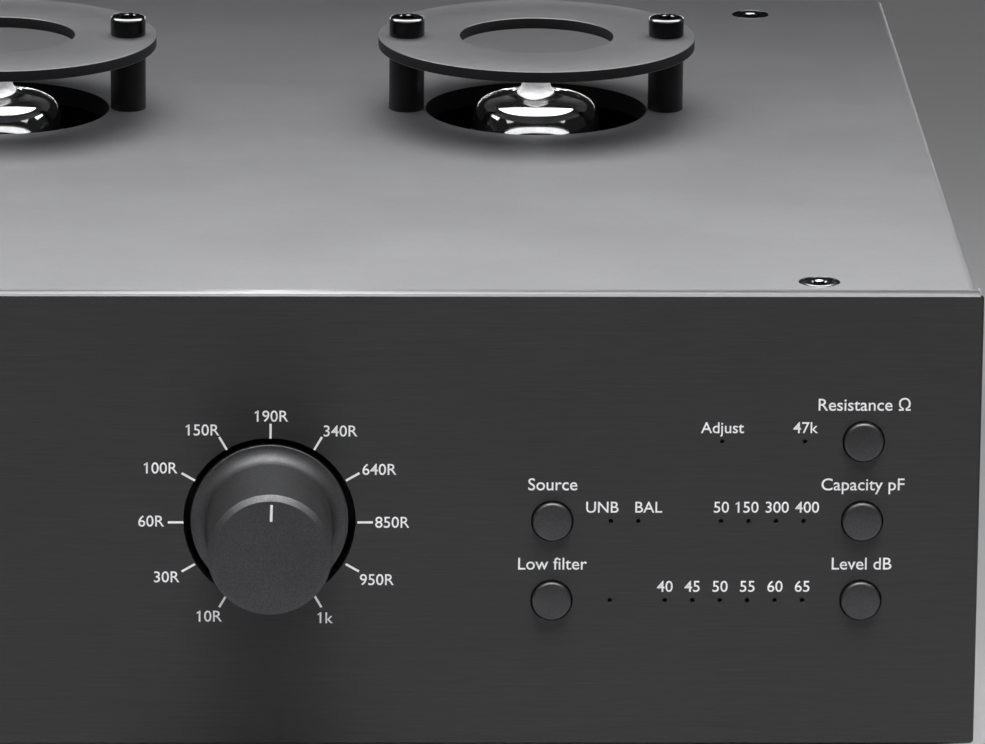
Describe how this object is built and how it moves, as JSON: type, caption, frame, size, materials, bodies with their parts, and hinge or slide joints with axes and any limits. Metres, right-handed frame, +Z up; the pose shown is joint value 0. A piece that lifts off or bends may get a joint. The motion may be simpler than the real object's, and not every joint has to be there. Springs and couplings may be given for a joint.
{
  "type": "phono preamp",
  "caption": "Black desktop phono preamplifier with a brushed front, a loading dial, push buttons and two glass valves under round guards on top.",
  "frame": {"origin": "middle of the footprint, on the surface that the feet stand on", "axes": "+Z up; -Y towards the front panel and the knob; +Y towards the rear sockets; +X to the right seen from the front"},
  "size_m": [0.206, 0.2214, 0.0868],
  "materials": {
    "balanced_black": "black coated die casting",
    "black_oxide": "black oxide, semi-gloss",
    "board_black": "black solder mask",
    "brushed_panel": "finely brushed, black anodised",
    "button_black": "satin black anodised",
    "capacitor_sleeve": "black sleeve",
    "chip_black": "moulded",
    "contact_gold": "gold plated",
    "control_body": "moulded",
    "film_case": "moulded case",
    "foot_rubber": "matt",
    "guard_black": "satin black anodised",
    "guide_clear": "dark clear",
    "inlet_black": "moulded",
    "insert_red": "moulded",
    "insert_white": "moulded",
    "knob_aluminium": "bead-blasted, black anodised",
    "lamp_lens": "clear lens",
    "latch_plate": "nickel plated",
    "rail_aluminium": "mill finish",
    "rear_black": "satin black anodised",
    "relay_case": "white case",
    "ribbon_grey": "flat cable",
    "satin_cover": "satin black anodised",
    "shaft_steel": "turned",
    "sink_black": "black anodised",
    "socket_ceramic": "off-white ceramic",
    "socket_plate": "gold plated",
    "standoff_black": "satin black anodised",
    "tray_steel": "black powder coat",
    "valve_glass": "clear with a mirror flash inside",
    "valve_metal": "grey nickel",
    "zinc_steel": "zinc plated"
  },
  "bodies": {
    "case": {"amplifier_chips": "chip_black", "balanced_input_shells": "balanced_black", "balanced_output_shells": "balanced_black", "base_tray": "tray_steel", "board_headers": "chip_black", "board_screws": "zinc_steel", "board_standoffs": "zinc_steel", "case_screws": "black_oxide", "control_board": "board_black", "cover_screws": "black_oxide", "dc_inlet": "inlet_black", "feet": "foot_rubber", "film_capacitors": "film_case", "filter_capacitors": "capacitor_sleeve", "foot_screws": "black_oxide", "front_panel": "brushed_panel", "front_rail": "rail_aluminium", "ground_post": "shaft_steel", "guard_ring_left": "guard_black", "guard_ring_right": "guard_black", "guard_screws": "black_oxide", "guard_standoffs": "standoff_black", "heat_sink": "sink_black", "indicator_lamps": "lamp_lens", "light_guides": "guide_clear", "main_board": "board_black", "panel_nuts": "shaft_steel", "panel_screws": "zinc_steel", "phono_inserts_red": "insert_red", "phono_inserts_white": "insert_white", "phono_shells": "socket_plate", "potentiometer_body": "control_body", "rear_panel": "rear_black", "rear_rail": "rail_aluminium", "relays": "relay_case", "ribbon_cable": "ribbon_grey", "signal_contacts": "contact_gold", "standoff_nuts": "zinc_steel", "switch_housings": "chip_black", "top_cover": "satin_cover", "valve_electrodes_left": "valve_metal", "valve_electrodes_right": "valve_metal", "valve_glass_left": "valve_glass", "valve_glass_right": "valve_glass", "valve_socket_left": "socket_ceramic", "valve_socket_right": "socket_ceramic", "voltage_regulators": "chip_black"},
    "dial": {"knob": "knob_aluminium", "knob_grub_screw": "zinc_steel", "potentiometer_shaft": "shaft_steel"},
    "button_capacitance": {"button_capacitance": "button_black"},
    "button_level": {"button_level": "button_black"},
    "button_low_cut": {"button_low_cut": "button_black"},
    "button_power": {"button_power": "button_black"},
    "button_resistance": {"button_resistance": "button_black"},
    "button_source": {"button_source": "button_black"},
    "latch_left": {"latch_left": "latch_plate"},
    "latch_right": {"latch_right": "latch_plate"},
    "ground_washer": {"ground_washer": "shaft_steel"},
    "ground_nut": {"ground_nut": "socket_plate"}
  },
  "joints": [
    {"name": "dial_turn", "type": "hinge", "parent": "case", "child": "dial", "pos_m": [0, -0.093, 0.038], "axis": [0, 1, 0], "range_deg": [-150, 150]},
    {"name": "press_capacitance", "type": "slide", "parent": "case", "child": "button_capacitance", "axis": [0, 1, 0], "range_m": [0, 0.0005], "stiffness_N_per_m": 600, "springref_m": -0.0015},
    {"name": "press_level", "type": "slide", "parent": "case", "child": "button_level", "axis": [0, 1, 0], "range_m": [0, 0.0005], "stiffness_N_per_m": 600, "springref_m": -0.0015},
    {"name": "press_low_cut", "type": "slide", "parent": "case", "child": "button_low_cut", "axis": [0, 1, 0], "range_m": [0, 0.0005], "stiffness_N_per_m": 600, "springref_m": -0.0015},
    {"name": "press_power", "type": "slide", "parent": "case", "child": "button_power", "axis": [0, 1, 0], "range_m": [0, 0.0005], "stiffness_N_per_m": 600, "springref_m": -0.0015},
    {"name": "press_resistance", "type": "slide", "parent": "case", "child": "button_resistance", "axis": [0, 1, 0], "range_m": [0, 0.0005], "stiffness_N_per_m": 600, "springref_m": -0.0015},
    {"name": "press_source", "type": "slide", "parent": "case", "child": "button_source", "axis": [0, 1, 0], "range_m": [0, 0.0005], "stiffness_N_per_m": 600, "springref_m": -0.0015},
    {"name": "latch_left_press", "type": "slide", "parent": "case", "child": "latch_left", "axis": [0, 0, -1], "range_m": [0, 0.001], "stiffness_N_per_m": 500, "springref_m": -0.0015},
    {"name": "latch_right_press", "type": "slide", "parent": "case", "child": "latch_right", "axis": [0, 0, -1], "range_m": [0, 0.001], "stiffness_N_per_m": 500, "springref_m": -0.0015},
    {"name": "ground_washer_slide", "type": "slide", "parent": "case", "child": "ground_washer", "axis": [0, 1, 0], "range_m": [0, 0.0021]},
    {"name": "ground_nut_turn", "type": "hinge", "parent": "ground_washer", "child": "ground_nut", "pos_m": [0, 0.101, 0.037], "axis": [0, 1, 0], "range_deg": [0, 1080]}
  ],
  "couplings": [
    {"joint": "ground_nut_turn", "follows": "ground_washer_slide", "rad_per_m": 8976}
  ]
}
